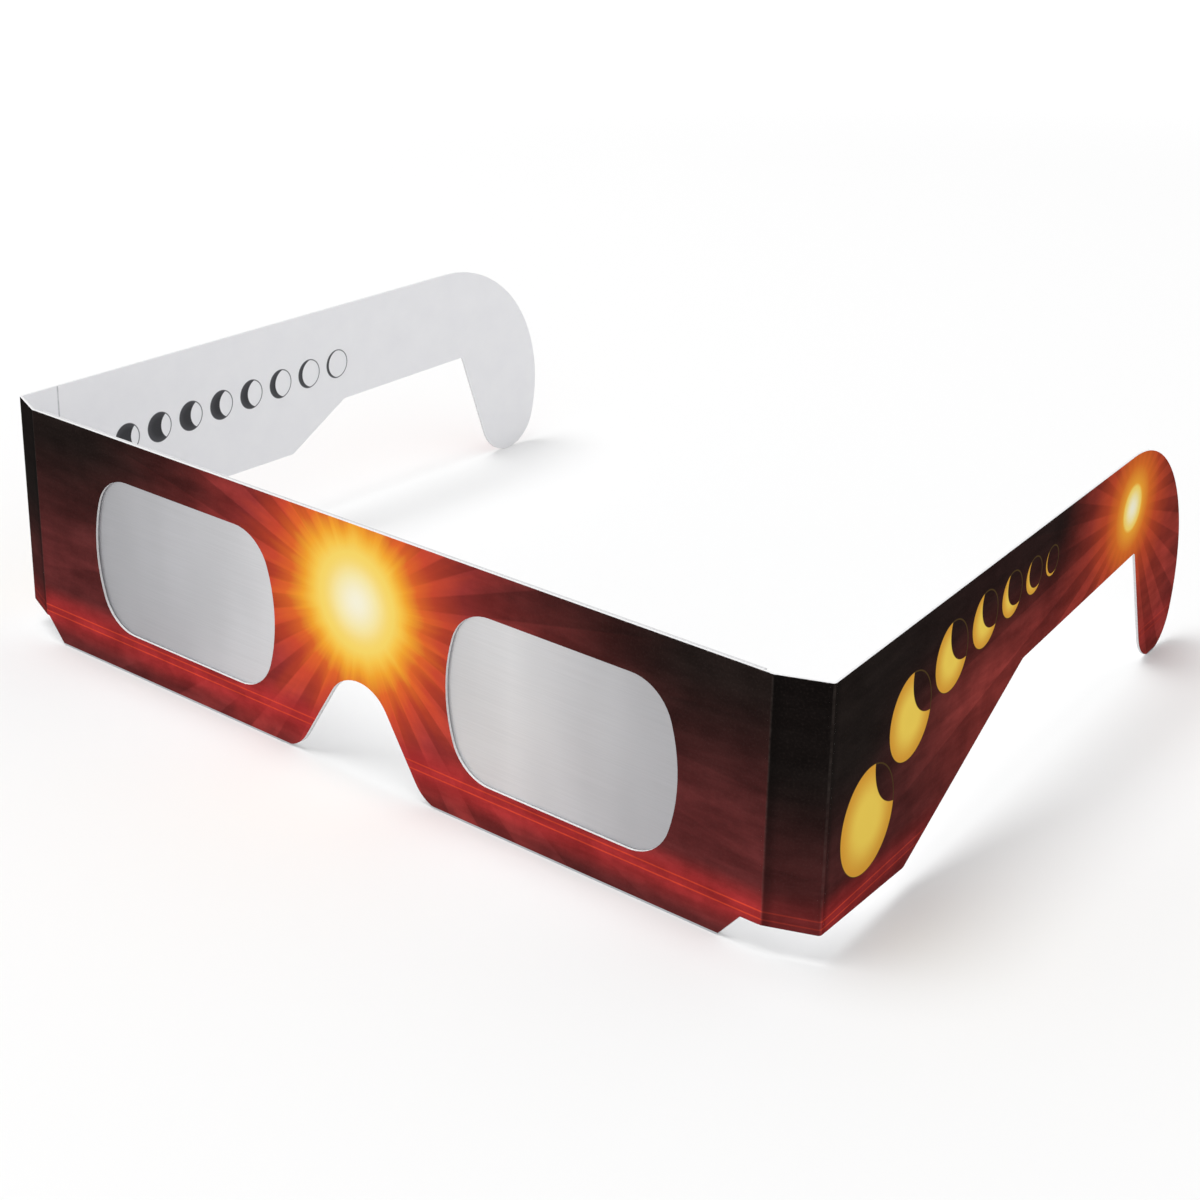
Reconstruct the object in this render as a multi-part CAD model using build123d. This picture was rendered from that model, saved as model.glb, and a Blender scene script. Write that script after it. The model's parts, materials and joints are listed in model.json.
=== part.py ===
from build123d import *
from math import acos, asin, atan2, cos, degrees, hypot, radians, sin
import os

# Folded card viewer with two filter windows. Millimetres and degrees.
# +Z is up, the front faces -Y, and the viewer stands on its lower edge and its two hooks.
# Its origin is at the bottom centre of its bounding box.

# The card blank
card_thickness = 0.40
front_width = 142.0
front_height = 38.0
front_drop = 4.0
strip_width = 7.4
fold_clearance = 0.05

# How far each corner is folded as the viewer stands: 0 is flat
front_fold_angle = 22.0
left_temple_fold_angle = 66.0
right_temple_fold_angle = 77.0

# The ends of the lower edge of the front, below the corner strips
chamfer_run = 3.6
chamfer_inset = {"left": 0.5, "right": 3.2}

# Nose arch, an opening between two rounded lobes
arch_height = 14.6
arch_crown_radius = 6.4
arch_lobe_radius = 6.0
arch_flank_angle = 57.5

# Windows, each a straight top and bottom with bowed sides and round corners
window_spacing = 34.0
window_outer_margin = 13.8
window_top_margin = 6.5
window_bottom_margin = 6.75
window_side_radius = 24.0
window_corner_radius = 7.0

# Filter patches, lapped over the card round the windows, and the ring of adhesive round each
filter_side_lap = 4.4
filter_edge_lap = 2.75
filter_corner_radius = 1.5
filter_thickness = 0.08
bond_thickness = 0.05
bond_setback = 0.8

# Backing ply and the adhesive between the plies
back_thickness = 0.35
back_setback = 1.5
back_window_margin = 0.4
glue_setback = 1.2
glue_filter_gap = 0.6

# Temples: places along a temple run from its crease, and drops are below its top edge
temple_crown_start = 97.5
hook_radius = 25.5
hook_tip_radius = 7.3
notch_place = 101.8
notch_depth = 16.8
notch_radius = 0.8
shoulder_depth = {"left": 17.3, "right": 18.6}
step_radius = 1.5
shoulder_place = {"left": 70.5, "right": 59.2}

# The right temple keeps its height as far as its heel, and the left one tapers to a shelf
heel_place = 23.3
heel_dip = 1.2
shelf_start = 38.0
shelf_end = 57.5
shelf_depth = 24.5

# Sizes that follow from these
temple_fold_angle = {"left": left_temple_fold_angle, "right": right_temple_fold_angle}
layer_thickness = bond_thickness + filter_thickness
half_card = card_thickness / 2
ply_start = half_card + fold_clearance
half_front = front_width / 2
window_width = half_front - window_outer_margin - window_spacing / 2
window_height = front_height - window_top_margin - window_bottom_margin
window_centre_x = (window_spacing + window_width) / 2
window_centre_z = window_bottom_margin + window_height / 2


def arch_edges():
    # left foot to right foot: lobe, flank, crown, flank, lobe
    turn = radians(arch_flank_angle)
    radii = arch_lobe_radius + arch_crown_radius
    flank = (arch_height - radii * (1 - cos(turn))) / sin(turn)
    half_span = radii * sin(turn) + flank * cos(turn)
    rise = Vector(cos(turn), sin(turn))
    fall = Vector(cos(turn), -sin(turn))
    lobe_in = JernArc((-half_span, 0), (1, 0), arch_lobe_radius, arch_flank_angle)
    flank_up = Line(lobe_in @ 1, (lobe_in @ 1) + rise * flank)
    crown = JernArc(flank_up @ 1, rise, arch_crown_radius, -2 * arch_flank_angle)
    flank_down = Line(crown @ 1, (crown @ 1) + fall * flank)
    lobe_out = JernArc(flank_down @ 1, fall, arch_lobe_radius, arch_flank_angle)
    return [lobe_in, flank_up, crown, flank_down, lobe_out]


def front_outline(end_x):
    # the front as far as end_x each way, with its chamfered drop and the nose arch
    face = Pos(0, front_height / 2) * Rectangle(2 * end_x, front_height)
    arch = arch_edges()
    face -= make_face(Curve() + arch + [Line(arch[-1] @ 1, arch[0] @ 0)])
    past = half_front + chamfer_run
    for side, sign in (("left", -1), ("right", 1)):
        top = half_front - chamfer_inset[side]
        cut = [(top, front_drop), (top - chamfer_run, 0), (past, 0), (past, front_drop)]
        face -= make_face(Polyline([(sign * x, z) for x, z in cut], close=True))
    return face


def window_face(grow):
    # one window about its own centre, grown by the same amount all round
    half_width = window_width / 2 + grow
    half_height = window_height / 2 + grow
    side = window_side_radius + grow
    corner = window_corner_radius + grow
    rise = half_height - corner
    tilt = degrees(asin(rise / (side - corner)))
    straight = half_width - side + (side - corner) * cos(radians(tilt))
    edges = []
    for sign in (1, -1):
        edges.append(Line((-sign * straight, sign * half_height), (sign * straight, sign * half_height)))
        for radius, sweep in [(corner, 90 - tilt), (side, 2 * tilt), (corner, 90 - tilt)]:
            edges.append(JernArc(edges[-1] @ 1, edges[-1] % 1, radius, -sweep))
    return make_face(Curve() + edges)


def at_windows(face):
    return [Pos(side * window_centre_x, window_centre_z) * face for side in (-1, 1)]


def front_layer(face, depth, thickness):
    # a face in front coordinates, as a layer that starts at a depth behind the printed face
    upright = Plane(origin=(0, depth, 0), x_dir=(1, 0, 0), z_dir=(0, -1, 0))
    return extrude(upright * face, amount=-thickness)


def front_panel():
    face = front_outline(half_front - ply_start)
    for window in at_windows(window_face(0)):
        face -= window
    return front_layer(face, 0, card_thickness)


def back_panel():
    face = front_outline(half_front - back_setback)
    for window in at_windows(window_face(back_window_margin)):
        face -= window
    return front_layer(face, card_thickness + layer_thickness, back_thickness)


def filter_outline(grow):
    width = window_width + 2 * (filter_side_lap + grow)
    height = window_height + 2 * (filter_edge_lap + grow)
    return RectangleRounded(width, height, filter_corner_radius + grow)


def filter_patch(side):
    face = Pos(side * window_centre_x, window_centre_z) * filter_outline(0)
    return front_layer(face, card_thickness + bond_thickness, filter_thickness)


def filter_bond(side):
    ring = filter_outline(0) - window_face(bond_setback)
    face = Pos(side * window_centre_x, window_centre_z) * ring
    return front_layer(face, card_thickness, bond_thickness)


def panel_glue():
    # fills the space between the plies, round the filter patches
    face = offset(front_outline(half_front - back_setback), amount=-glue_setback)
    for patch in at_windows(filter_outline(glue_filter_gap)):
        face -= patch
    return front_layer(face, card_thickness, layer_thickness)


def fold_points(side):
    # the two crease axes of a right-hand corner in plan, and the heading of its temple
    first = Vector(half_front, half_card)
    run = Vector(cos(radians(front_fold_angle)), sin(radians(front_fold_angle)))
    return first, first + run * strip_width, front_fold_angle + temple_fold_angle[side]


def corner_strip(side):
    # its two long edges are round, and its neighbours turn on them
    first, second, _ = fold_points(side)
    middle = (first + second) / 2
    plan = SlotCenterToCenter(strip_width, card_thickness, rotation=front_fold_angle)
    height = front_height - front_drop
    return extrude(Pos(middle.X, middle.Y, front_drop) * plan, amount=height)


def temple_edge_below(side):
    # corners of the lower edge, from the shoulder back to the crease
    shoulder = (shoulder_place[side], front_height - shoulder_depth[side])
    if side == "right":
        return [shoulder, (heel_place, front_drop - heel_dip)]
    shelf = front_height - shelf_depth
    return [shoulder, (shelf_end, shelf), (shelf_start, shelf)]


def temple_face(side):
    # drawn with its crease at zero, running to +x, and stood on the tip of its hook
    crown = Vector(temple_crown_start, front_height - hook_radius)
    reach = hook_radius - hook_tip_radius
    lift = hook_tip_radius - crown.Y
    tip = Vector(crown.X + (reach * reach - lift * lift) ** 0.5, hook_tip_radius)
    slope = atan2(tip.Y - crown.Y, tip.X - crown.X)
    notch = Vector(notch_place, front_height - notch_depth)
    gap = notch - tip
    leave = atan2(gap.Y, gap.X) + acos(hook_tip_radius / hypot(gap.X, gap.Y))
    inner = tip + Vector(cos(leave), sin(leave)) * hook_tip_radius
    start = (temple_crown_start, front_height)
    outer = JernArc(start, (1, 0), hook_radius, degrees(slope) - 90)
    sweep = 360 + degrees(slope) - degrees(leave)
    nose = JernArc(outer @ 1, outer % 1, hook_tip_radius, -sweep)
    below = temple_edge_below(side)
    points = [nose @ 1, notch] + below
    points += [(ply_start, front_drop), (ply_start, front_height), start]
    sides = [Line(a, b) for a, b in zip(points, points[1:])]
    face = make_face(Curve() + [outer, nose] + sides)
    for point, radius in [(notch, notch_radius)] + [(p, step_radius) for p in below]:
        here = Vector(*point)
        corner = face.vertices().sort_by_distance(here)[0]
        face = fillet(corner, radius)
    return face


def temple(side):
    _, crease, heading = fold_points(side)
    turned = (cos(radians(heading)), sin(radians(heading)), 0)
    outward = (turned[1], -turned[0], 0)
    upright = Plane(origin=(crease.X, crease.Y, 0), x_dir=turned, z_dir=outward)
    return extrude(upright * temple_face(side), amount=half_card, both=True)


def sided(shape, side):
    return mirror(shape, about=Plane.YZ) if side == "left" else shape


def build():
    nodes = {"front_panel": front_panel(), "back_panel": back_panel(), "panel_glue": panel_glue()}
    for side, sign in (("left", -1), ("right", 1)):
        nodes[side + "_filter"] = filter_patch(sign)
        nodes[side + "_filter_bond"] = filter_bond(sign)
        nodes[side + "_corner_strip"] = sided(corner_strip(side), side)
        nodes[side + "_temple"] = sided(temple(side), side)
    box = Compound([solid for shape in nodes.values() for solid in shape.solids()]).bounding_box()
    centre = box.center()
    shift = Vector(-centre.X, -centre.Y, -box.min.Z)
    return {name: Pos(shift) * shape for name, shape in nodes.items()}, shift


parts, shift = build()
os.makedirs("parts", exist_ok=True)
for name, shape in parts.items():
    export_step(shape, f"parts/{name}.step")
print("origin moved by", [round(value, 4) for value in shift])
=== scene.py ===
import json
import math
import bmesh
import bpy
from mathutils import Matrix, Vector


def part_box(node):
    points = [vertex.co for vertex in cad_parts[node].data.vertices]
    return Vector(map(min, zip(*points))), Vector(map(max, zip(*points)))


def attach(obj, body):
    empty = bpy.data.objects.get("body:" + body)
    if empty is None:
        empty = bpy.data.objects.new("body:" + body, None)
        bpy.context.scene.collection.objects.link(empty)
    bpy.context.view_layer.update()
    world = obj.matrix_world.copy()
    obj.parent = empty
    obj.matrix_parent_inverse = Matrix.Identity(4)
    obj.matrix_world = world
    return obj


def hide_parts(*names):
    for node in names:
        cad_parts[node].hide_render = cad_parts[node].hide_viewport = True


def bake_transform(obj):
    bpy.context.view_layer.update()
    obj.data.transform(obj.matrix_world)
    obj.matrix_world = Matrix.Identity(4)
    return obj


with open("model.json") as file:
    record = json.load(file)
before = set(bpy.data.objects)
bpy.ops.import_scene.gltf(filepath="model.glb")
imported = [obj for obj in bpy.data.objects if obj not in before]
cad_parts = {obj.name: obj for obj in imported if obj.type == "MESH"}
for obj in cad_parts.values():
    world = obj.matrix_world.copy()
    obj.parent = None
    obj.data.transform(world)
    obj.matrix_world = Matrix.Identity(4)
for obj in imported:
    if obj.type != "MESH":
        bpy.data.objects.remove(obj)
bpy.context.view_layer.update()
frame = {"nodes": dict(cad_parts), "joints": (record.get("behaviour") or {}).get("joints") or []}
scene = bpy.context.scene
mm = 0.001
upward = Vector((0, 0, 1))
print("frame loaded:", len(frame["nodes"]), "nodes")


def linearColour(code):
    # sRGB hex to the linear values that a shader takes
    shares = [int(code[place:place + 2], 16) / 255 for place in (1, 3, 5)]
    return [s / 12.92 if s <= 0.04045 else ((s + 0.055) / 1.055) ** 2.4 for s in shares] + [1]


def addNode(tree, kind, settings=(), inputs=(), stops=()):
    # one node with its settings, its values or links, and the stops of a colour ramp
    node = tree.nodes.new("ShaderNode" + kind)
    for name, value in dict(settings).items():
        setattr(node, name, value)
    for name, value in dict(inputs).items():
        sockets = [s for s in node.inputs if s.enabled]
        socket = sockets[name] if isinstance(name, int) else next(s for s in sockets if s.name == name)
        if isinstance(value, bpy.types.Node):
            value = next(s for s in value.outputs if s.enabled)
        if isinstance(value, bpy.types.NodeSocket):
            tree.links.new(value, socket)
        elif isinstance(value, str):
            socket.default_value = linearColour(value)
        else:
            socket.default_value = value
    if stops:
        ramp = node.color_ramp
        for extra in stops[2:]:
            ramp.elements.new(extra[0])
        for element, (place, code) in zip(ramp.elements, stops):
            element.position = place
            element.color = linearColour(code)
    return node


def newMaterial(name, finish):
    # a principled material, and its node tree and shader
    material = bpy.data.materials.new(name)
    material.use_nodes = True
    tree = material.node_tree
    shader = tree.nodes["Principled BSDF"]
    for name, value in finish.items():
        shader.inputs[name].default_value = value
    return material, tree, shader


def setColour(tree, shader, colour):
    # the shader's colour comes from a node
    tree.links.new(next(s for s in colour.outputs if s.enabled), shader.inputs["Base Color"])


# The blank is the flat card before it is folded: x along it from the middle of the nose, y up it

board = {
    "foldReach": 0.45 * mm,           # from a crease to where its bent stretch stops
    "bendRadius": 0.36 * mm,          # of the middle of the card in a crease
    "bendSteps": 8,
    "edgeRound": 0.07 * mm,
    "edgeSteps": 3,
    "weld": 0.001 * mm,
    "flatAngle": math.radians(1),     # faces that differ by less are one flat face
    "sharpAngle": math.radians(15),   # edges of a bend that stay sharp
    "broadFacing": 0.99,              # a broad face is at least this square to the card
    "rimFacing": 0.95,                # a cut edge is less square to it than this
    "bendRimFacing": 0.3,             # in a bend, a cut edge looks up or down by more than this
}


def readBlank():
    # the stretches of the folded card on each side, from the frame's creases and their travel
    low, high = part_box("front_panel")
    hinges = {joint["name"]: joint for joint in frame["joints"]}
    thickness = high.y - low.y
    middle = Vector(((low.x + high.x) / 2, low.y + thickness / 2, 0))
    blank = {"thickness": thickness, "top": high.z, "foot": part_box("left_corner_strip")[0].z}
    for side, sign in (("left", -1), ("right", 1)):
        creases = [hinges[side + name] for name in ("_front_crease", "_temple_crease")]
        bends = [math.radians(-crease["range_deg"][0]) for crease in creases]
        first, second = [Vector((crease["pos_m"][0], crease["pos_m"][1], 0)) for crease in creases]
        turns = [0, bends[0], bends[0] + bends[1]]
        places = [middle, first, second]
        runs = [(first - middle).length, (second - first).length, 1]
        stretches = []
        begun = 0
        for start, turn, run in zip(places, turns, runs):
            along = Vector((sign * math.cos(turn), math.sin(turn), 0))
            outward = Vector((sign * math.sin(turn), -math.cos(turn), 0))
            stretches.append({"start": start, "along": along, "outward": outward,
                              "run": run, "begun": begun, "sign": sign})
            begun += run
        blank[side] = {"stretches": stretches, "bends": bends}
    return blank


blank = readBlank()
creasePlaces = [stretch["begun"] / mm for stretch in blank["right"]["stretches"][1:]]


def nearestStretch(point, stretches):
    # the stretch that a point of the folded card is on, and how far along it the point is
    flat = Vector((point.x, point.y, 0))
    found = []
    for order, stretch in enumerate(stretches):
        along = min(max((flat - stretch["start"]).dot(stretch["along"]), 0), stretch["run"])
        away = (stretch["start"] + stretch["along"] * along - flat).length
        found.append((away, order, along))
    away, order, along = min(found)
    return stretches[order], along


def layOnBlank(shape, stretches, plain=False, bent=False):
    # the blank's map, and 0 printed, 1 inside or 2 cut edge for each face
    layer = shape.loops.layers.uv.new("blank")
    shape.normal_update()
    for face in shape.faces:
        facing = face.normal.dot(nearestStretch(face.calc_center_median(), stretches)[0]["outward"])
        if bent:
            rim = abs(face.normal.z) > board["bendRimFacing"]
        else:
            rim = abs(facing) < board["rimFacing"]
        face.material_index = 2 if rim else 0 if facing > 0 and not plain else 1
        for loop in face.loops:
            stretch, along = nearestStretch(loop.vert.co, stretches)
            place = stretch["sign"] * (stretch["begun"] + along)
            loop[layer].uv = (place, loop.vert.co.z)


def addPiece(name, shape, materials, nodes, body=None):
    # a finished mesh as a piece that rides on a body and stands for its CAD nodes
    mesh = bpy.data.meshes.new(name)
    shape.to_mesh(mesh)
    shape.free()
    piece = bpy.data.objects.new(name, mesh)
    scene.collection.objects.link(piece)
    for material in materials:
        mesh.materials.append(material)
    if body:
        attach(piece, body)
    if nodes:
        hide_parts(*nodes)
    return piece


def mergedCopy(node):
    # a CAD node's own faces, merged where they meet
    shape = bmesh.new()
    shape.from_mesh(frame["nodes"][node].data)
    bmesh.ops.remove_doubles(shape, verts=shape.verts[:], dist=board["weld"])
    return shape


def flatten(shape):
    # triangles that lie in one plane become one face
    bmesh.ops.dissolve_limit(shape, angle_limit=board["flatAngle"], verts=shape.verts[:],
                             edges=shape.edges[:])


def cutCard(node, outward, cuts):
    # a merged copy of a CAD sheet, cut off at its folds, with its die-cut rims slightly rounded
    shape = mergedCopy(node)
    for place, direction in cuts:
        everything = shape.verts[:] + shape.edges[:] + shape.faces[:]
        bmesh.ops.bisect_plane(shape, geom=everything, plane_co=place, plane_no=direction,
                               dist=board["weld"], clear_outer=True)
        openEdges = [edge for edge in shape.edges if edge.is_boundary]
        bmesh.ops.edgeloop_fill(shape, edges=openEdges)
    flatten(shape)
    bmesh.ops.recalc_face_normals(shape, faces=shape.faces[:])

    def atCut(edge):
        return any(all(abs((vert.co - place).dot(direction)) < board["weld"] for vert in edge.verts)
                   for place, direction in cuts)

    rims = []
    for edge in shape.edges:
        broad = [abs(face.normal.dot(outward)) > board["broadFacing"] for face in edge.link_faces]
        if sum(broad) == 1 and len(broad) == 2 and not atCut(edge):
            rims.append(edge)
    bmesh.ops.bevel(shape, geom=rims, offset=board["edgeRound"], segments=board["edgeSteps"],
                    profile=0.5, affect="EDGES", material=-1, clamp_overlap=True)
    return shape


def bentCard(before, after, bend):
    # the card through one crease: a short run, the bend, and a short run
    half = blank["thickness"] / 2
    foot, top = blank["foot"], blank["top"]
    radius = board["bendRadius"]
    straight = board["foldReach"] - radius * math.tan(bend / 2)
    begin = after["start"] - before["along"] * board["foldReach"]
    centre = begin + before["along"] * straight - before["outward"] * radius
    shape = bmesh.new()
    corners = [begin + before["outward"] * half * side + upward * level
               for side, level in ((-1, foot), (1, foot), (1, top), (-1, top))]
    shape.faces.new([shape.verts.new(corner) for corner in corners])
    bmesh.ops.bevel(shape, geom=shape.verts[:], offset=board["edgeRound"], segments=board["edgeSteps"],
                    profile=0.5, affect="VERTICES", material=-1)
    bmesh.ops.delete(shape, geom=shape.faces[:], context="FACES_KEEP_BOUNDARY")
    front = shape.edges[:]
    for run in (before["along"] * straight, None, after["along"] * straight):
        if run is None:
            turned = bmesh.ops.spin(shape, geom=front, cent=centre, axis=upward,
                                    angle=before["sign"] * bend, steps=board["bendSteps"],
                                    use_merge=False)
            front = [part for part in turned["geom_last"] if isinstance(part, bmesh.types.BMEdge)]
        else:
            grown = bmesh.ops.extrude_edge_only(shape, edges=front)["geom"]
            front = [part for part in grown
                     if isinstance(part, bmesh.types.BMEdge) and part.is_boundary]
            moved = {vert for edge in front for vert in edge.verts}
            bmesh.ops.translate(shape, verts=list(moved), vec=run)
    bmesh.ops.remove_doubles(shape, verts=shape.verts[:], dist=board["weld"])
    bmesh.ops.holes_fill(shape, edges=[edge for edge in shape.edges if edge.is_boundary], sides=0)
    bmesh.ops.recalc_face_normals(shape, faces=shape.faces[:])
    return shape


# The materials' lengths are millimetres on the blank. A fade such as (2, 14, 1, 0.3) says where a
# share starts and stops to change, and its value before and after, which are 0 and 1 if left out

def strength(tree, *factors):
    # the product of factors, each a number, a node, or a value with its fade behind it
    total = None
    for factor in factors:
        if isinstance(factor, tuple):
            value, start, stop, before, after = (factor + (0.0, 1.0))[:5]
            factor = addNode(tree, "MapRange", {"interpolation_type": "SMOOTHSTEP"}, {
                "Value": value, "From Min": start, "From Max": stop, "To Min": before, "To Max": after})
        if total is None:
            total = factor
        else:
            total = addNode(tree, "Math", {"operation": "MULTIPLY"}, {0: total, 1: factor})
    return total


def layInk(tree, ground, ink, *factors):
    # ink over the ground, as strong as the factors make it
    return addNode(tree, "Mix", {"data_type": "RGBA"}, {
        "Factor": strength(tree, *factors), "A": ground, "B": ink})


def gapFrom(tree, value, mark):
    # how far a value is from a mark, on either side
    past = addNode(tree, "Math", {"operation": "SUBTRACT"}, {0: value, 1: mark})
    return addNode(tree, "Math", {"operation": "ABSOLUTE"}, {0: past})


def blankPlace(tree):
    # where a point is on the blank
    chart = addNode(tree, "UVMap", {"uv_map": "blank"})
    return addNode(tree, "VectorMath", {"operation": "SCALE"}, {0: chart, 1: 1 / mm})


# The print: a plain sun high on the bridge, broad straight beams, a low band with two pinstripes, and
# on each temple a chain of phases that ends in a small sun with beams of its own

artwork = {
    "sunPlace": (0, 26.6, 0),
    "sunRadius": 7.2,
    "sunSoft": 0.35,
    "sunColours": [(0.0, "#FFFAE0"), (0.55, "#FFF0B0"), (1.0, "#FFDD6C")],
    "glowReach": 84,
    "glowColours": [(0.0, "#FFDD6C"), (0.018, "#FFCC50"), (0.04, "#F9A834"), (0.075, "#E3692F"),
                    (0.12, "#C94A32"), (0.20, "#A03936"), (0.33, "#7B302F"), (0.55, "#652C2C"),
                    (1.0, "#5E2A2A")],
    "curtain": {"Scale": 1.0, "Detail": 3.0, "Roughness": 0.55},
    "curtainSpread": (5, 5, 5),   # how often the glow's reach changes round the sun
    "curtainDriftShare": 0.03,    # and on its way out
    "curtainFade": (0.3, 0.7, 1.2, 0.82),
    "beamWidth": 7.5,             # degrees
    "beamSoft": 0.22,
    "beamTone": (0.0, 1.0, 0.80, 1.16),
    "beamStart": (2.0, 14.0),     # from the sun's rim
    "beamStop": (30.0, 70.0, 1.0, 0.25),
}
ground = {
    "colour": "#1B1816",
    "rise": (9.0, 36.0),          # up the card, towards the dark
    "spread": (6.0, 60.0, 0.0, 0.97),
    "creaseSoft": 0.1,
    "sink": (82.0, 150.0, 0.0, 11.0),   # the temple's dark starts higher up, further out
    "templeRise": (0.0, 26.0, 0.15, 0.98),
    "stripColour": "#0B0909",
    "stripRise": (14.0, 36.0, 0.12, 0.7),
}
endSun = {
    "place": (177, 29.5, 0),
    "radius": 3.6,
    "glowReach": 92,              # its other fades are shares of this
    "glowColours": [(0.0, "#FFD75A"), (0.042, "#F5A83A"), (0.075, "#DE702B"), (0.12, "#BE4A2C"),
                    (0.19, "#9A382D"), (0.32, "#84312D"), (0.60, "#883733"), (1.0, "#5E2C2B")],
    "glowFade": (0.55, 1.0, 1.0, 0.0),
    "beamStart": (0.05, 0.2),
    "darkColour": "#1B1716",
    "darkRise": (17.0, 35.0),     # millimetres up the card
    "darkStart": (0.1, 0.34, 0.0, 0.96),
}
band = {
    "height": 5.4,
    "colour": "#B63233",
    "fade": (0.0, 4.6, 0.8, 0.0),
    "stripeGap": 1.1,
    "stripeColour": "#E04B30",
    "stripeFade": (0.04, 0.16, 0.75, 0.0),
    "sunFade": (3.0, 16.0),       # none of it close to the sun
    "outboardFade": (60.0, 115.0, 0.95, 0.3),
    "stripFade": (0.0, 1.0, 1.0, 0.3),
}
inkGrain = {
    "mottle": {"Scale": 1 / 5.5, "Detail": 5.0, "Roughness": 0.62},   # clouds 5.5 mm across
    "mottleTone": (0.3, 0.7, 0.84, 1.16),
    "streak": {"Scale": 1.0, "Detail": 4.0, "Roughness": 0.6},
    "streakStretch": (0.07, 0.42, 1.0),   # one streak is about 14 mm long and 2.4 mm high
    "streakTone": (0.3, 0.7, 0.80, 1.18),
    "speck": {"Scale": 3.0, "Detail": 4.0, "Roughness": 0.7},         # a third of a millimetre across
    "speckTone": (0.45, 0.85, 0.0, 0.05),
    "speckColour": "#93827B",
    "sunStart": (5.0, 26.0),      # the suns' glows stay smooth
    "endStart": (0.06, 0.3),
}
phaseChain = {
    "count": 7,
    "first": (89.6, 15.1),
    "radius": 7.3,
    "shrink": 0.82,
    "gap": 1.5,
    "heading": 42,                # degrees above level, from the first disc to the second
    "settle": 0.45,               # share of the heading kept from one disc to the next
    "soft": 0.05,
    "moonSize": 1.03,             # shares of the disc's radius
    "moonFirst": 1.55,
    "moonLast": 0.22,
    "moonHeading": 38,
    "limbStart": 0.35,            # share of the radius, where the disc starts to darken
    "limbShare": 0.75,
    "litColour": "#F8D65C",
    "limbColour": "#DA8E2C",
    "lineColour": "#4E3D22",
}


def discPlaces(chain):
    # centre, radius and moon centre of each disc of a chain
    x, y = chain["first"]
    radius, heading = chain["radius"], chain["heading"]
    places = []
    for order in range(chain["count"]):
        done = order / (chain["count"] - 1)
        away = radius * (chain["moonFirst"] + (chain["moonLast"] - chain["moonFirst"]) * done)
        bearing = math.radians(chain["moonHeading"])
        moon = (x + away * math.cos(bearing), y + away * math.sin(bearing), 0)
        places.append(((x, y, 0), radius, moon))
        step = radius * (1 + chain["shrink"]) + chain["gap"]
        x += step * math.cos(math.radians(heading))
        y += step * math.sin(math.radians(heading))
        radius *= chain["shrink"]
        heading *= chain["settle"]
    return places


def layPhases(tree, colour, place, chain):
    # a chain of phases: thin outlines, their lit parts, and a shade towards the rims of those
    soft = chain["soft"]
    found = []
    for centre, radius, moon in discPlaces(chain):
        fromSun = addNode(tree, "VectorMath", {"operation": "DISTANCE"}, {0: place, 1: centre})
        fromMoon = addNode(tree, "VectorMath", {"operation": "DISTANCE"}, {0: place, 1: moon})
        covered = radius * chain["moonSize"]
        lit = strength(tree, (fromSun, radius - soft, radius + soft, 1.0, 0.0),
                       (fromMoon, covered - soft, covered + soft))
        limb = strength(tree, lit, (fromSun, radius * chain["limbStart"], radius))
        line = strength(tree, (gapFrom(tree, fromSun, radius), soft, soft * 3, 1.0, 0.0))
        if found:
            found = [addNode(tree, "Math", {"operation": "MAXIMUM"}, {0: before, 1: now})
                     for before, now in zip(found, (lit, limb, line))]
        else:
            found = [lit, limb, line]
    lit, limb, line = found
    colour = layInk(tree, colour, chain["lineColour"], line)
    colour = layInk(tree, colour, chain["litColour"], lit)
    return layInk(tree, colour, chain["limbColour"], limb, chain["limbShare"])


def layBeams(tree, colour, away, distance, *factors):
    # broad beams about a point, alternately darker and lighter, as strong as the factors make them
    width = math.radians(artwork["beamWidth"])
    parts = addNode(tree, "SeparateXYZ", (), {0: away})
    turn = addNode(tree, "Math", {"operation": "ARCTAN2"}, {0: parts.outputs[1], 1: parts.outputs[0]})
    off = addNode(tree, "Math", {"operation": "PINGPONG"}, {0: turn, 1: width})
    off = addNode(tree, "Math", {"operation": "SUBTRACT"}, {0: off, 1: width / 2})
    soft = artwork["beamSoft"]
    beam = strength(tree, (strength(tree, off, distance), -soft, soft))
    tone = strength(tree, (beam, *artwork["beamTone"]))
    lift = addNode(tree, "Mix", {"data_type": "FLOAT"}, {
        "Factor": strength(tree, *factors), "A": 1.0, "B": tone})
    return addNode(tree, "VectorMath", {"operation": "SCALE"}, {0: colour, 1: lift})


def laySun(tree, colour, distance, radius):
    # a plain bright disc, deeper yellow towards its rim
    soft = artwork["sunSoft"]
    hot = addNode(tree, "ValToRGB", (), {0: strength(tree, (distance, 0.0, radius))},
                  artwork["sunColours"])
    return layInk(tree, colour, hot, (distance, radius - soft, radius + soft, 1.0, 0.0))


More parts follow.
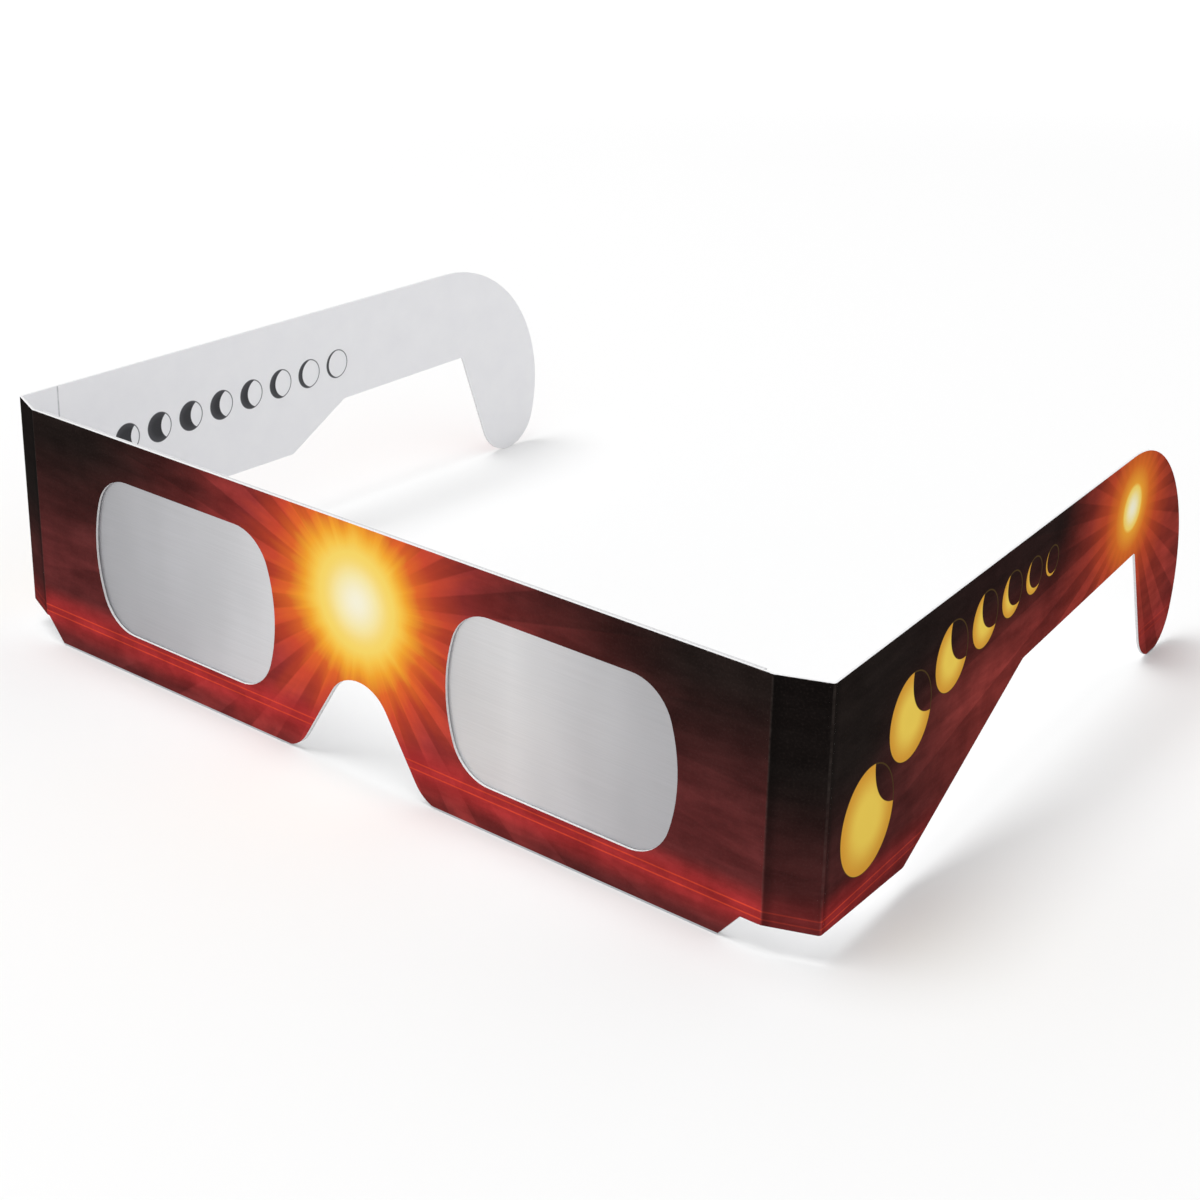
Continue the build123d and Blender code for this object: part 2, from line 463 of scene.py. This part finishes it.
def offsetPrint(tree, place, outboard, height):
    # the printed side's colour
    fromSun = addNode(tree, "VectorMath", {"operation": "SUBTRACT"}, {0: place, 1: artwork["sunPlace"]})
    distance = addNode(tree, "VectorMath", {"operation": "LENGTH"}, {0: fromSun})
    beyond = addNode(tree, "Math", {"operation": "SUBTRACT"}, {0: distance, 1: artwork["sunRadius"]})
    mirrored = addNode(tree, "CombineXYZ", (), {0: outboard, 1: height})
    fromEnd = addNode(tree, "VectorMath", {"operation": "SUBTRACT"}, {0: mirrored, 1: endSun["place"]})
    endDistance = addNode(tree, "VectorMath", {"operation": "LENGTH"}, {0: fromEnd})
    endShare = addNode(tree, "Math", {"operation": "DIVIDE"}, {0: endDistance, 1: endSun["glowReach"]})

    # the glow runs outwards from the sun, a little further in some directions than in others
    heading = addNode(tree, "VectorMath", {"operation": "NORMALIZE"}, {0: fromSun})
    drift = addNode(tree, "CombineXYZ", (), {2: strength(tree, distance, artwork["curtainDriftShare"])})
    curtain = addNode(tree, "VectorMath", {"operation": "MULTIPLY_ADD"}, {
        0: heading, 1: artwork["curtainSpread"], 2: drift})
    curtain = addNode(tree, "TexNoise", (), {"Vector": curtain, **artwork["curtain"]})
    warmth = strength(tree, beyond, (curtain, *artwork["curtainFade"]))
    warmth = addNode(tree, "Math", {"operation": "DIVIDE"}, {0: warmth, 1: artwork["glowReach"]})
    colour = addNode(tree, "ValToRGB", (), {0: warmth}, artwork["glowColours"])
    colour = layBeams(tree, colour, fromSun, distance,
                      (beyond, *artwork["beamStart"]), (beyond, *artwork["beamStop"]))

    # the ground darkens upwards and outwards, and more beyond the first crease
    soft = ground["creaseSoft"]
    past, onTemple = [strength(tree, (outboard, crease - soft, crease + soft))
                      for crease in creasePlaces]
    onStrip = addNode(tree, "Math", {"operation": "SUBTRACT"}, {0: past, 1: onTemple})
    onFront = strength(tree, (height, *ground["rise"]), (outboard, *ground["spread"]))
    sunk = addNode(tree, "Math", {"operation": "SUBTRACT"}, {
        0: height, 1: strength(tree, (outboard, *ground["sink"]))})
    dark = addNode(tree, "Mix", {"data_type": "FLOAT"}, {
        "Factor": past, "A": onFront, "B": strength(tree, (sunk, *ground["templeRise"]))})
    colour = layInk(tree, colour, ground["colour"], dark)
    colour = layInk(tree, colour, ground["stripColour"], onStrip, (height, *ground["stripRise"]))

    # the glow of the small sun at the end of the phases, with its own beams
    glow = addNode(tree, "ValToRGB", (), {0: endShare}, endSun["glowColours"])
    glow = layBeams(tree, glow, fromEnd, endDistance, (endShare, *endSun["beamStart"]))
    glow = layInk(tree, glow, endSun["darkColour"],
                  (height, *endSun["darkRise"]), (endShare, *endSun["darkStart"]))
    colour = layInk(tree, colour, glow, (endShare, *endSun["glowFade"]))

    # a red band low down, with two pinstripes
    offBand = gapFrom(tree, height, band["height"])
    offStripe = gapFrom(tree, offBand, band["stripeGap"] / 2)
    clear = strength(tree, (beyond, *band["sunFade"]))
    fade = strength(tree, (outboard, *band["outboardFade"]), (onStrip, *band["stripFade"]))
    colour = layInk(tree, colour, band["colour"], (offBand, *band["fade"]), fade, clear)
    colour = layInk(tree, colour, band["stripeColour"], (offStripe, *band["stripeFade"]), fade, clear)

    # ink mottle, longer streaks along the card, and specks of pale fibre
    cool = strength(tree, (beyond, *inkGrain["sunStart"]), (endShare, *inkGrain["endStart"]))
    mottle = addNode(tree, "TexNoise", (), {"Vector": place, **inkGrain["mottle"]})
    streak = addNode(tree, "VectorMath", {"operation": "MULTIPLY"}, {
        0: place, 1: inkGrain["streakStretch"]})
    streak = addNode(tree, "TexNoise", (), {"Vector": streak, **inkGrain["streak"]})
    tone = strength(tree, (mottle, *inkGrain["mottleTone"]), (streak, *inkGrain["streakTone"]))
    tone = addNode(tree, "Mix", {"data_type": "FLOAT"}, {"Factor": cool, "A": 1.0, "B": tone})
    colour = addNode(tree, "VectorMath", {"operation": "SCALE"}, {0: colour, 1: tone})
    speck = addNode(tree, "TexNoise", (), {"Vector": place, **inkGrain["speck"]})
    colour = layInk(tree, colour, inkGrain["speckColour"], cool, (speck, *inkGrain["speckTone"]))

    colour = layPhases(tree, colour, mirrored, phaseChain)
    colour = laySun(tree, colour, endDistance, endSun["radius"])
    return laySun(tree, colour, distance, artwork["sunRadius"])


# Creases crack the ink in a thin pale line with a band of painted shade beside it, and the top edge is
# rubbed

wearAndPaintedShade = {
    "grain": {"Scale": 1.0, "Detail": 4.0, "Roughness": 0.7},
    "grainStretch": (2.0, 0.8),   # it is 0.5 mm across and 1.25 mm high
    "creaseShadeColour": "#0C0B0A",
    "creaseShadeShare": 0.4,
    "creaseShadeStart": (0.0, 0.3),
    "creaseShadeStop": (0.3, 1.8, 1.0, 0.0),
    "crackColour": "#8C807A",
    "crackFade": (0.04, 0.16, 1.0, 0.0),
    "crackGrain": (0.3, 0.75, 0.01, 0.08),
    "rubColour": "#8F7F79",
    "rubReach": 0.2,              # below the top edge
    "rubFull": 0.04,
    "rubGrain": (0.5, 0.72, 0.0, 0.8),
    # painted shade: the bare lower lip is grey rather than the board's white, for the shade along the
    # floor
    "bareLipAndShadeColour": "#BFC3C6",
    "bareLipAndShadeFade": (0.26, 0.34, 1.0, 0.0),   # the ink stops short of the lower edge of the front
}


def wornAndShaded(tree, colour, outboard, height):
    # the print's wear, with painted shade beside the creases and along the bare lower lip
    across, up = wearAndPaintedShade["grainStretch"]
    grain = addNode(tree, "CombineXYZ", (), {
        0: strength(tree, outboard, across), 1: strength(tree, height, up)})
    grain = addNode(tree, "TexNoise", (), {"Vector": grain, **wearAndPaintedShade["grain"]})
    for crease in creasePlaces:
        past = addNode(tree, "Math", {"operation": "SUBTRACT"}, {0: outboard, 1: crease})
        off = addNode(tree, "Math", {"operation": "ABSOLUTE"}, {0: past})
        # painted shade: a dark band on the outer side of each crease, where the bend would shade the
        # card
        colour = layInk(tree, colour, wearAndPaintedShade["creaseShadeColour"],
                        (past, *wearAndPaintedShade["creaseShadeStart"]), (past, *wearAndPaintedShade["creaseShadeStop"]), wearAndPaintedShade["creaseShadeShare"])
        colour = layInk(tree, colour, wearAndPaintedShade["crackColour"],
                        (off, *wearAndPaintedShade["crackFade"]), (grain, *wearAndPaintedShade["crackGrain"]))
    top = blank["top"] / mm
    colour = layInk(tree, colour, wearAndPaintedShade["rubColour"],
                    (height, top - wearAndPaintedShade["rubReach"], top - wearAndPaintedShade["rubFull"]), (grain, *wearAndPaintedShade["rubGrain"]))
    # the bare lower lip, grey with painted shade
    return layInk(tree, colour, wearAndPaintedShade["bareLipAndShadeColour"], (height, *wearAndPaintedShade["bareLipAndShadeFade"]))


def addFibre(tree, shader, place, fibre):
    # the board's felted fibre as a bump
    felt = addNode(tree, "TexNoise", (), {
        "Vector": place, "Scale": 1 / fibre["grain"], "Detail": 3.0, "Roughness": 0.6})
    bump = addNode(tree, "Bump", (), {"Strength": 1.0, "Distance": fibre["depth"] * mm, "Height": felt})
    tree.links.new(bump.outputs[0], shader.inputs["Normal"])


printedSide = {
    "finish": {"Roughness": 0.6, "IOR": 1.5, "Specular IOR Level": 0.0,
               "Coat Weight": 0.015, "Coat Roughness": 0.35, "Coat IOR": 1.5},
    "fibre": {"grain": 0.5, "depth": 0.008},
}


def printedBoard():
    # coated board, offset printed and flood varnished: deep inks, a dull satin and a faint fibre
    material, tree, shader = newMaterial("offsetPrintedBoard", printedSide["finish"])
    place = blankPlace(tree)
    parts = addNode(tree, "SeparateXYZ", (), {0: place})
    outboard = addNode(tree, "Math", {"operation": "ABSOLUTE"}, {0: parts.outputs[0]})
    height = parts.outputs[1]
    colour = offsetPrint(tree, place, outboard, height)
    setColour(tree, shader, wornAndShaded(tree, colour, outboard, height))
    addFibre(tree, shader, place, printedSide["fibre"])
    return material


whiteSide = {
    "finish": {"Roughness": 0.8, "IOR": 1.5, "Specular IOR Level": 0.25},
    "cloud": {"Scale": 0.2, "Detail": 6.0, "Roughness": 0.6},         # 5 mm across
    "cloudColours": [(0.25, "#F4F4F7"), (0.75, "#F8F8FA")],
    "extraScore": 7.0,            # the third score line is this far past the second crease
    "scoreShadeColour": "#A9A9AD",
    "scoreShadeFade": (0.05, 0.22, 1.0, 0.0),
    "grain": {"Scale": 0.5, "Detail": 3.0, "Roughness": 0.7},         # 2 mm across
    "grainFade": (0.3, 0.7, 0.35, 0.8),
    "fibre": {"grain": 0.6, "depth": 0.012},
}
insideChain = {
    "count": 9,
    "first": (-92.0, 25.6),
    "radius": 2.5,
    "shrink": 1.0,
    "gap": 1.9,
    "heading": 178,
    "settle": 1.0,
    "soft": 0.05,
    "moonSize": 1.0,
    "moonFirst": 1.45,
    "moonLast": 0.2,
    "moonHeading": 180,
    "limbStart": 0.5,
    "limbShare": 0.5,
    "litColour": "#39393C",
    "limbColour": "#5A5A5E",
    "lineColour": "#7A7A7E",
}


def whiteBoard():
    # the uncoated side of bleached board: matt, with a faint fibre, one row of printed phases, and score
    # lines in painted shade
    material, tree, shader = newMaterial("bleachedBoardInside", whiteSide["finish"])
    place = blankPlace(tree)
    cloud = addNode(tree, "TexNoise", (), {"Vector": place, **whiteSide["cloud"]})
    colour = addNode(tree, "ValToRGB", (), {0: cloud}, whiteSide["cloudColours"])
    colour = layPhases(tree, colour, place, insideChain)
    across = addNode(tree, "SeparateXYZ", (), {0: place}).outputs[0]
    outboard = addNode(tree, "Math", {"operation": "ABSOLUTE"}, {0: across})
    grain = addNode(tree, "TexNoise", (), {"Vector": place, **whiteSide["grain"]})
    # painted shade: grey lines in the pressed score grooves at both creases and one more past the second
    for score in creasePlaces + [creasePlaces[1] + whiteSide["extraScore"]]:
        colour = layInk(tree, colour, whiteSide["scoreShadeColour"],
                        (gapFrom(tree, outboard, score), *whiteSide["scoreShadeFade"]),
                        (grain, *whiteSide["grainFade"]))
    setColour(tree, shader, colour)
    addFibre(tree, shader, place, whiteSide["fibre"])
    return material


def cutEdge(name, darker, lighter):
    # a die-cut edge of the board: bare felted fibre, a third of a millimetre across and quite matt
    material, tree, shader = newMaterial(name, {"Roughness": 0.9, "IOR": 1.5, "Specular IOR Level": 0.2})
    fibre = addNode(tree, "TexNoise", (), {"Vector": blankPlace(tree), "Scale": 3.0, "Detail": 3.0})
    colour = addNode(tree, "ValToRGB", (), {0: fibre}, [(0.3, darker), (0.7, lighter)])
    setColour(tree, shader, colour)
    return material


filmFinish = {
    "finish": {"Roughness": 0.36, "Metallic": 1.0},
    # painted reflection: the film is lighter near the nose and darker towards both creases, as the
    # room's reflection in it would make it
    "paintedReflectionTints": [(0.09, "#A2A2A5"), (0.22, "#B7B7BA"), (0.37, "#D0D0D2"), (0.62, "#CBCBCC"),
              (0.70, "#D6D6D7"), (0.77, "#C3C3C5"), (0.91, "#ABABAE")],   # left crease to right
    "streak": {"Scale": 1.0, "Detail": 4.0, "Roughness": 0.6},
    "streakStretch": (0.06, 5.0, 1.0),    # one streak is about 17 mm long and 0.2 mm high
    "streakTone": (0.3, 0.7, 0.972, 1.028),
    "cloud": {"Scale": 1.0, "Detail": 1.0},
    "cloudStretch": (0.09, 0.035, 1.0),   # 11 mm wide and 29 mm high
    "cloudTone": (0.3, 0.7, 0.96, 1.04),
}


def metallisedFilm():
    # vacuum-metallised polyester film: silver, with fine drawn streaks along it, and a painted
    # reflection that is lighter near the nose and darker outwards
    material, tree, shader = newMaterial("metallisedPolyester", filmFinish["finish"])
    place = blankPlace(tree)
    across = addNode(tree, "SeparateXYZ", (), {0: place}).outputs[0]
    across = addNode(tree, "MapRange", (), {
        "Value": across, "From Min": -creasePlaces[0], "From Max": creasePlaces[0]})
    # the painted reflection across the film, from one crease to the other
    colour = addNode(tree, "ValToRGB", (), {0: across}, filmFinish["paintedReflectionTints"])
    tones = []
    for pattern in ("streak", "cloud"):
        stretched = addNode(tree, "VectorMath", {"operation": "MULTIPLY"}, {
            0: place, 1: filmFinish[pattern + "Stretch"]})
        noise = addNode(tree, "TexNoise", (), {"Vector": stretched, **filmFinish[pattern]})
        tones.append((noise, *filmFinish[pattern + "Tone"]))
    colour = addNode(tree, "VectorMath", {"operation": "SCALE"}, {0: colour, 1: strength(tree, *tones)})
    setColour(tree, shader, colour)
    return material


def filterAdhesive():
    # clear acrylic adhesive, unseen between the plies, with clouds 5 mm across
    material, tree, shader = newMaterial("acrylicAdhesive", {"Roughness": 0.3, "IOR": 1.47})
    chart = addNode(tree, "TexCoord").outputs["Object"]
    cloud = addNode(tree, "TexNoise", (), {"Vector": chart, "Scale": 0.2 / mm, "Detail": 2.0})
    colour = addNode(tree, "ValToRGB", (), {0: cloud}, [(0.3, "#D8D0B8"), (0.7, "#E2DCC8")])
    setColour(tree, shader, colour)
    return material


printed, inside, film, adhesive = printedBoard(), whiteBoard(), metallisedFilm(), filterAdhesive()
cardMaterials = [printed, inside, cutEdge("bleachedBoardCutEdge", "#DEDEDF", "#EDEDEE")]
# the backing's cut edge is painted greyer than the front card's: painted shade along the far rim of the
# top edges
backingMaterials = [printed, inside, cutEdge("backingCutEdgePaintedShade", "#CDCDCE", "#DADADB")]
print("materials ready")


def makeFront():
    # the printed front, open at both folds, and the plain ply behind it
    flats = [blank[side]["stretches"][0] for side in ("left", "right")]
    outward = flats[1]["outward"]
    ends = []
    for side in ("left", "right"):
        flat, strip = blank[side]["stretches"][:2]
        ends.append((strip["start"] - flat["along"] * board["foldReach"], flat["along"]))
    front = cutCard("front_panel", outward, ends)
    layOnBlank(front, flats)
    addPiece("front_card", front, cardMaterials, ["front_panel"], "front")
    backing = cutCard("back_panel", outward, [])
    layOnBlank(backing, flats, plain=True)
    addPiece("backing_card", backing, backingMaterials, ["back_panel"], "front")


def makeSide(side):
    # a corner strip, a temple, and the bent card in the creases on either side of the strip
    reach = board["foldReach"]
    flat, strip, temple = blank[side]["stretches"]
    corner, arm = side + "_corner", side + "_arm"
    cuts = [(strip["start"] + strip["along"] * reach, -strip["along"]),
            (temple["start"] - strip["along"] * reach, strip["along"])]
    card = cutCard(side + "_corner_strip", strip["outward"], cuts)
    layOnBlank(card, [strip])
    addPiece(side + "_strip_card", card, cardMaterials, [side + "_corner_strip"], corner)
    cuts = [(temple["start"] + temple["along"] * reach, -temple["along"])]
    card = cutCard(side + "_temple", temple["outward"], cuts)
    layOnBlank(card, [temple])
    addPiece(side + "_temple_card", card, cardMaterials, [side + "_temple"], arm)
    frontBend, templeBend = blank[side]["bends"]
    for name, before, after, bend, bodies in (
            ("_front_fold", flat, strip, frontBend, ("front", corner)),
            ("_temple_fold", strip, temple, templeBend, (corner, arm))):
        bent = bentCard(before, after, bend)
        layOnBlank(bent, [before, after], bent=True)
        fold = addPiece(side + name, bent, cardMaterials, [])
        fold.data.shade_smooth()
        fold.data.set_sharp_from_angle(angle=board["sharpAngle"])
        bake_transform(fold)


makeFront()
makeSide("left")
makeSide("right")
print("cards cut and folded")


# The film patches lie between the plies and are very slightly slack in their windows

filmSheet = {
    "slice": 1.0 * mm,                  # between the cuts that let it curve
    "slack": 0.10 * mm,
    "waveLength": (17 * mm, 26 * mm),   # of a wave along the sheet and of one up it
    "waveShares": (0.6, 0.4),
    "waveLeanShare": 0.4,               # the wave up the sheet leans by this much of its way along
    "wavePhase": {"left": 0.4, "right": 1.9},
    "heldRim": (4.4 * mm, 2.775 * mm),  # held flat by the plies: the sides, and the top and bottom
    "heldPower": 4,
    "broadFacing": 0.9,
}


def makeFilm(side):
    node = side + "_filter"
    low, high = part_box(node)
    middle, half = (low + high) / 2, (high - low) / 2
    slackWidth, slackHeight = half.x - filmSheet["heldRim"][0], half.z - filmSheet["heldRim"][1]
    shape = mergedCopy(node)
    flatten(shape)
    for axis in (0, 2):
        count = int((high[axis] - low[axis]) / filmSheet["slice"])
        direction = Vector((axis == 0, 0, axis == 2))
        for step in range(1, count + 1):
            place = low.copy()
            place[axis] += (high[axis] - low[axis]) * step / (count + 1)
            bmesh.ops.bisect_plane(shape, geom=shape.verts[:] + shape.edges[:] + shape.faces[:],
                                   plane_co=place, plane_no=direction, dist=board["weld"])
    length, rise = filmSheet["waveLength"]
    alongShare, upShare = filmSheet["waveShares"]
    phase, power = filmSheet["wavePhase"][side], filmSheet["heldPower"]
    for vert in shape.verts:
        off = vert.co - middle
        inward = 1 - abs(off.x / slackWidth) ** power - abs(off.z / slackHeight) ** power
        leant = off.z + filmSheet["waveLeanShare"] * off.x
        wave = alongShare * math.sin(2 * math.pi * off.x / length + phase)
        wave += upShare * math.sin(2 * math.pi * leant / rise + 2 * phase)
        vert.co.y += filmSheet["slack"] * max(inward, 0) * wave
    layOnBlank(shape, [blank[side]["stretches"][0]])
    for face in shape.faces:
        face.smooth = abs(face.normal.y) > filmSheet["broadFacing"]
        face.material_index = 0
    addPiece(side + "_film", shape, [film], [node], "front")


makeFilm("left")
makeFilm("right")
for node in ("panel_glue", "left_filter_bond", "right_filter_bond"):
    mesh = frame["nodes"][node].data
    mesh.materials.clear()
    mesh.materials.append(adhesive)
print("films laid in")


# Camera, floor and light

view = {
    "place": (228.233, -275.054, 156.384),   # millimetres
    "yaw": 40.649,                # degrees
    "pitch": -22.667,
    "roll": 1.115,
    "lens": 73.24,
    "sensor": 36.0,
    "nearest": 10,                # millimetres
}


def makeCamera():
    yaw, pitch, roll = [math.radians(view[name]) for name in ("yaw", "pitch", "roll")]
    level = math.cos(pitch)
    looking = Vector((-math.sin(yaw) * level, math.cos(yaw) * level, math.sin(pitch)))
    levelRight = Vector((math.cos(yaw), math.sin(yaw), 0))
    levelUp = levelRight.cross(looking)
    right = levelRight * math.cos(roll) + levelUp * math.sin(roll)
    up = levelUp * math.cos(roll) - levelRight * math.sin(roll)
    data = bpy.data.cameras.new("camera")
    data.lens = view["lens"]
    data.sensor_width = view["sensor"]
    data.clip_start = view["nearest"] * mm
    camera = bpy.data.objects.new("camera", data)
    scene.collection.objects.link(camera)
    turned = Matrix((right, up, -looking)).transposed().to_4x4()
    camera.matrix_world = Matrix.Translation(Vector(view["place"]) * mm) @ turned
    scene.camera = camera


studio = {
    "floorHalf": 4.0,             # metres, as all lengths here
    "floorColour": "#E2E2E2",
    "floorLift": 0.13,            # paper white for the eye alone, so that it keeps its shadow
    "fadeStart": 0.35,            # from the middle, where the floor starts to fade into the backdrop
    "fadeEnd": 1.4,
    "white": "#FFFFFF",
    "wallStrength": 1.12,         # pale walls all round, under a dimmer ceiling
    "ceilingStrength": 0.22,
    "keyBearing": -135,           # degrees from +X: the front left
    "keyHeight": 75,              # degrees above the floor
    "keyDistance": 3.0,
    "keySize": 2.2,
    "keyPower": 64.0,
}


def seenDirectly(tree):
    # 1 for what the camera sees directly, in a reflection or through something clear
    path = addNode(tree, "LightPath")
    seen = path.outputs["Is Camera Ray"]
    for ray in ("Is Glossy Ray", "Is Transmission Ray"):
        seen = addNode(tree, "Math", {"operation": "MAXIMUM"}, {0: seen, 1: path.outputs[ray]})
    return seen


def makeFloor():
    shape = bmesh.new()
    bmesh.ops.create_grid(shape, x_segments=1, y_segments=1, size=studio["floorHalf"])
    mesh = bpy.data.meshes.new("floor")
    shape.to_mesh(mesh)
    shape.free()
    floor = bpy.data.objects.new("floor", mesh)
    scene.collection.objects.link(floor)
    material, tree, shader = newMaterial("whitePaperSweep", {"Roughness": 0.9, "IOR": 1.45})
    chart = addNode(tree, "TexCoord").outputs["Object"]
    away = addNode(tree, "VectorMath", {"operation": "LENGTH"}, {0: chart})
    fade = (away, studio["fadeStart"], studio["fadeEnd"], studio["floorLift"], 1.0)
    lift = strength(tree, seenDirectly(tree), fade)
    shader.inputs["Base Color"].default_value = linearColour(studio["floorColour"])
    shader.inputs["Emission Color"].default_value = linearColour(studio["white"])
    tree.links.new(lift.outputs[0], shader.inputs["Emission Strength"])
    mesh.materials.append(material)


def makeSky():
    world = bpy.data.worlds.new("studio")
    world.use_nodes = True
    tree = world.node_tree
    sky = tree.nodes["Background"]
    direction = addNode(tree, "TexCoord").outputs["Generated"]
    height = addNode(tree, "SeparateXYZ", (), {0: direction}).outputs[2]
    room = addNode(tree, "MapRange", (), {
        "Value": height, "To Min": studio["wallStrength"], "To Max": studio["ceilingStrength"]})
    light = addNode(tree, "Mix", {"data_type": "FLOAT"}, {
        "Factor": seenDirectly(tree), "A": room, "B": 1.0})
    sky.inputs["Color"].default_value = linearColour(studio["white"])
    tree.links.new(light.outputs[0], sky.inputs["Strength"])
    scene.world = world


def makeKey():
    bearing, height = math.radians(studio["keyBearing"]), math.radians(studio["keyHeight"])
    level = math.cos(height)
    direction = Vector((level * math.cos(bearing), level * math.sin(bearing), math.sin(height)))
    data = bpy.data.lights.new("key", "AREA")
    data.shape = "DISK"
    data.size = studio["keySize"]
    data.energy = studio["keyPower"]
    key = bpy.data.objects.new("key", data)
    scene.collection.objects.link(key)
    key.location = direction * studio["keyDistance"]
    key.rotation_mode = "QUATERNION"
    key.rotation_quaternion = (-direction).to_track_quat("-Z", "Y")


makeCamera()
makeFloor()
makeSky()
makeKey()
scene.view_settings.view_transform = "Standard"
print("camera, floor and light set")
